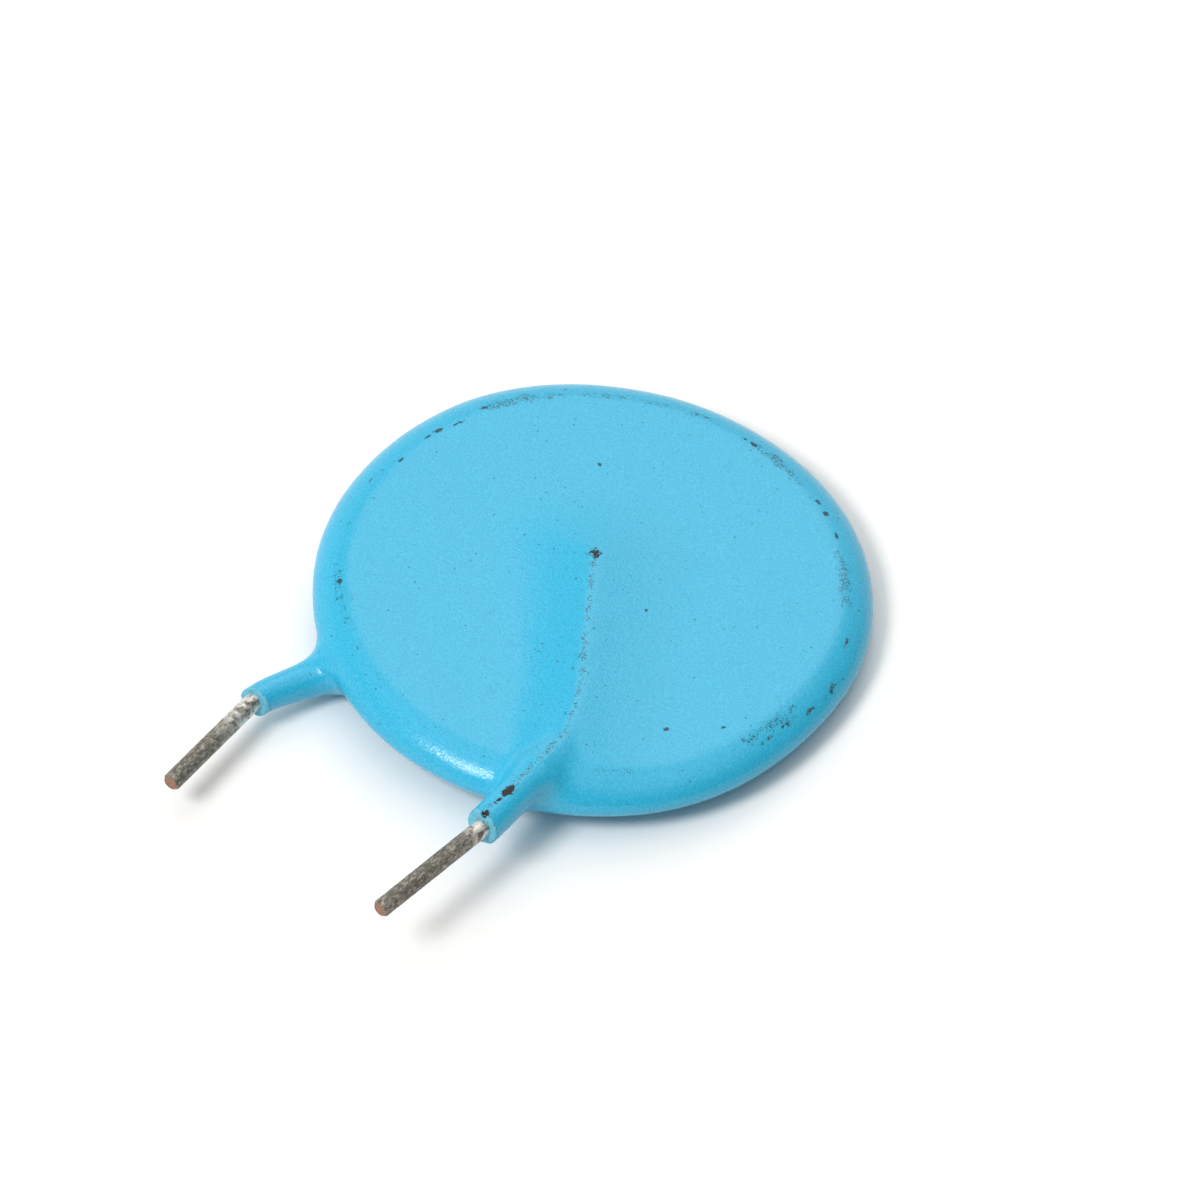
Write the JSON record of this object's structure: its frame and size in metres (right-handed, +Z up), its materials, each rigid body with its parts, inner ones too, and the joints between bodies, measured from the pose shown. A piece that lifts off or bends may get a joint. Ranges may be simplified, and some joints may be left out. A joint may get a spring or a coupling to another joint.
{
  "type": "varistor",
  "caption": "Flat disc varistor in a blue epoxy coat, lying on its rear face, with round tinned copper leads leaving one side of its rim.",
  "frame": {"origin": "on the surface that the part lies on, below the middle of its bounding box", "axes": "+Z up out of that surface; the cut ends of the leads point towards -Y; the front face of the disc looks up, tipped by about 3 degrees"},
  "size_m": [0.035, 0.0474, 0.006],
  "materials": {
    "epoxy_coat": "gloss",
    "zinc_oxide": "matte",
    "fired_silver": "matte",
    "tinned_copper": "satin",
    "solder_tin": "satin"
  },
  "bodies": {
    "root": {"coating": "epoxy_coat", "ceramic_disc": "zinc_oxide", "front_electrode": "fired_silver", "rear_electrode": "fired_silver", "front_lead": "tinned_copper", "rear_lead": "tinned_copper", "front_solder": "solder_tin", "rear_solder": "solder_tin"}
  },
  "joints": []
}
